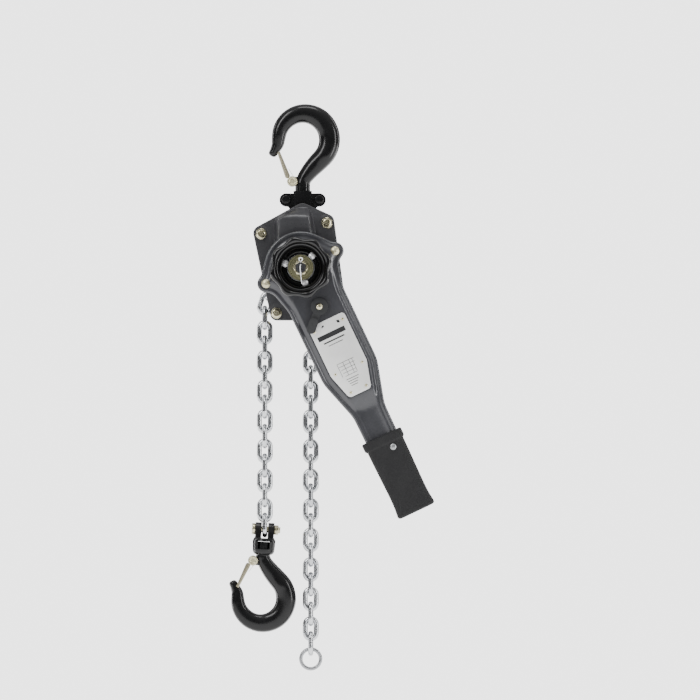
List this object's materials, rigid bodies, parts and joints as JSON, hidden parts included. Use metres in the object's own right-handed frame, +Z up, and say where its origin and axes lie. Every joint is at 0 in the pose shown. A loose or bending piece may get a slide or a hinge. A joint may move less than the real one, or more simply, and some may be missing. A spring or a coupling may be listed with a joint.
{
  "type": "chain lever hoist",
  "caption": "Lever hoist: geared chain wheel in a plated body with swing lever and hand wheel, top hook, load chain with bottom hook and hanging slack chain.",
  "frame": {"origin": "seat of the top hook's bowl, where the hook rests on what carries it", "axes": "+X right and -Y towards the hand wheel as the hoist is used, +Z up along the swivel axis of the top hook"},
  "size_m": [0.2858, 0.164, 0.8038],
  "materials": {
    "hook_black": "gloss black enamel on forged steel",
    "latch_zinc": "dull yellowish zinc on pressed steel",
    "body_paint": "satin charcoal enamel",
    "lever_paint": "satin charcoal enamel",
    "zinc_yellow": "yellow zinc plating",
    "olive_zinc": "olive zinc plating",
    "chain_zinc": "bright zinc plating",
    "wheel_black": "gloss black enamel",
    "bright_steel": "bright plated",
    "plain_steel": "oiled machined steel",
    "bronze": "oiled bronze",
    "brake_lining": "moulded friction lining",
    "selector_black": "satin black",
    "label_plate": "satin anodised",
    "grip_rubber": "matte black moulded rubber"
  },
  "bodies": {
    "top_hook": {"top_hook": "hook_black"},
    "top_latch": {"top_hook_latch": "latch_zinc", "top_latch_rivet": "latch_zinc"},
    "top_yoke": {"top_yoke_front": "hook_black", "top_yoke_rear": "hook_black", "top_yoke_rivets": "hook_black"},
    "frame": {"top_pin": "plain_steel", "side_plate_front": "body_paint", "side_plate_rear": "body_paint", "stay_bolts": "zinc_yellow", "stay_nuts": "zinc_yellow", "chain_guide": "plain_steel", "chain_stripper": "plain_steel", "wheel_bearings": "bronze", "brake_cover": "body_paint", "gear_case": "body_paint", "gear_case_bush": "bronze", "pawl_pins": "plain_steel", "pawl_springs": "plain_steel"},
    "load_wheel": {"load_sheave": "plain_steel", "load_gear": "plain_steel", "load_gear_ring": "plain_steel", "chain_on_sheave": "chain_zinc"},
    "load_run": {"load_chain": "chain_zinc"},
    "slack_run": {"slack_chain": "chain_zinc", "chain_end_ring": "plain_steel"},
    "drive": {"drive_shaft": "plain_steel", "friction_hub": "plain_steel", "friction_disc_inner": "brake_lining", "ratchet_disc": "plain_steel", "friction_disc_outer": "brake_lining", "pressure_ring": "plain_steel", "stop_washer": "olive_zinc", "castle_nut": "zinc_yellow", "cotter_pin": "bright_steel", "wheel_spring": "plain_steel"},
    "gear_upper": {"gear_pair_upper": "plain_steel"},
    "gear_lower": {"gear_pair_lower": "plain_steel"},
    "hand_wheel": {"change_gear": "plain_steel", "hand_wheel": "wheel_black", "hand_wheel_screws": "bright_steel"},
    "lever": {"lever_shell_front": "lever_paint", "lever_shell_rear": "lever_paint", "lever_rivets": "zinc_yellow", "detent_plunger": "plain_steel", "name_plate": "label_plate", "name_plate_screws": "zinc_yellow", "handle_grip": "grip_rubber", "grip_screw": "bright_steel"},
    "selector": {"selector_knob": "selector_black", "selector_screw": "zinc_yellow", "selector_pawl": "plain_steel"},
    "pawl_left": {"brake_pawl_left": "plain_steel"},
    "pawl_right": {"brake_pawl_right": "plain_steel"},
    "bottom_clevis": {"bottom_clevis": "hook_black", "chain_pin": "zinc_yellow"},
    "bottom_hook": {"bottom_hook": "hook_black", "bottom_hook_nut": "hook_black"},
    "bottom_latch": {"bottom_hook_latch": "latch_zinc", "bottom_latch_rivet": "latch_zinc"}
  },
  "joints": [
    {"name": "top_latch_hinge", "type": "hinge", "parent": "top_hook", "child": "top_latch", "pos_m": [-0.0148, 0, -0.0836], "axis": [0, -1, 0], "range_deg": [-40, 0], "stiffness_Nm_per_rad": 0.05, "springref_deg": 34.38},
    {"name": "yoke_swivel", "type": "hinge", "parent": "top_hook", "child": "top_yoke", "pos_m": [0, 0, -0.11], "axis": [0, 0, 1], "continuous": true},
    {"name": "body_swing", "type": "hinge", "parent": "top_yoke", "child": "frame", "pos_m": [0, 0, -0.129], "axis": [0, -1, 0], "range_deg": [-30, 25]},
    {"name": "load_wheel_turn", "type": "hinge", "parent": "frame", "child": "load_wheel", "pos_m": [-0.0025, 0, -0.2065], "axis": [0, -1, 0], "range_deg": [-6, 6]},
    {"name": "load_run_feed", "type": "slide", "parent": "frame", "child": "load_run", "axis": [0, 0, -1], "range_m": [-0.0036, 0.0036]},
    {"name": "slack_run_feed", "type": "slide", "parent": "frame", "child": "slack_run", "axis": [0, 0, 1], "range_m": [-0.0036, 0.0036]},
    {"name": "drive_turn", "type": "hinge", "parent": "frame", "child": "drive", "pos_m": [-0.0025, 0, -0.2065], "axis": [0, -1, 0], "range_deg": [-55, 55]},
    {"name": "gear_upper_turn", "type": "hinge", "parent": "frame", "child": "gear_upper", "pos_m": [-0.00766, 0, -0.17391], "axis": [0, -1, 0], "range_deg": [-16.1, 16.1]},
    {"name": "gear_lower_turn", "type": "hinge", "parent": "frame", "child": "gear_lower", "pos_m": [0.00266, 0, -0.23909], "axis": [0, -1, 0], "range_deg": [-16.1, 16.1]},
    {"name": "hand_wheel_pull", "type": "slide", "parent": "drive", "child": "hand_wheel", "axis": [0, -1, 0], "range_m": [0, 0.005], "stiffness_N_per_m": 1000, "springref_m": -0.01, "deforming": ["wheel_spring"]},
    {"name": "lever_turn", "type": "hinge", "parent": "frame", "child": "lever", "pos_m": [-0.0025, 0, -0.2065], "axis": [0, -1, 0], "continuous": true},
    {"name": "selector_turn", "type": "hinge", "parent": "lever", "child": "selector", "pos_m": [0.02376, 0, -0.26156], "axis": [0, -1, 0], "range_deg": [0, 84]},
    {"name": "pawl_left_lift", "type": "hinge", "parent": "frame", "child": "pawl_left", "pos_m": [-0.03, 0, -0.1635], "axis": [0, -1, 0], "range_deg": [0, 18], "stiffness_Nm_per_rad": 0.03, "springref_deg": -28.65},
    {"name": "pawl_right_lift", "type": "hinge", "parent": "frame", "child": "pawl_right", "pos_m": [-0.0045, 0, -0.1495], "axis": [0, -1, 0], "range_deg": [0, 14], "stiffness_Nm_per_rad": 0.03, "springref_deg": -28.65},
    {"name": "clevis_swing", "type": "hinge", "parent": "load_run", "child": "bottom_clevis", "pos_m": [-0.05378, 0, -0.57774], "axis": [0.9981, 0, -0.061], "range_deg": [-60, 60]},
    {"name": "bottom_hook_swivel", "type": "hinge", "parent": "bottom_clevis", "child": "bottom_hook", "pos_m": [-0.05561, 0, -0.60768], "axis": [0.061, 0, 0.9981], "continuous": true},
    {"name": "bottom_latch_hinge", "type": "hinge", "parent": "bottom_hook", "child": "bottom_latch", "pos_m": [-0.07057, 0, -0.62193], "axis": [0, -1, 0], "range_deg": [0, 40], "stiffness_Nm_per_rad": 0.05, "springref_deg": -34.38}
  ],
  "couplings": [
    {"joint": "drive_turn", "follows": "load_wheel_turn", "ratio": 9.0667},
    {"joint": "gear_upper_turn", "follows": "load_wheel_turn", "ratio": -2.6667},
    {"joint": "gear_lower_turn", "follows": "load_wheel_turn", "ratio": -2.6667},
    {"joint": "load_run_feed", "follows": "load_wheel_turn", "m_per_rad": 0.033423},
    {"joint": "slack_run_feed", "follows": "load_wheel_turn", "m_per_rad": 0.033423}
  ]
}
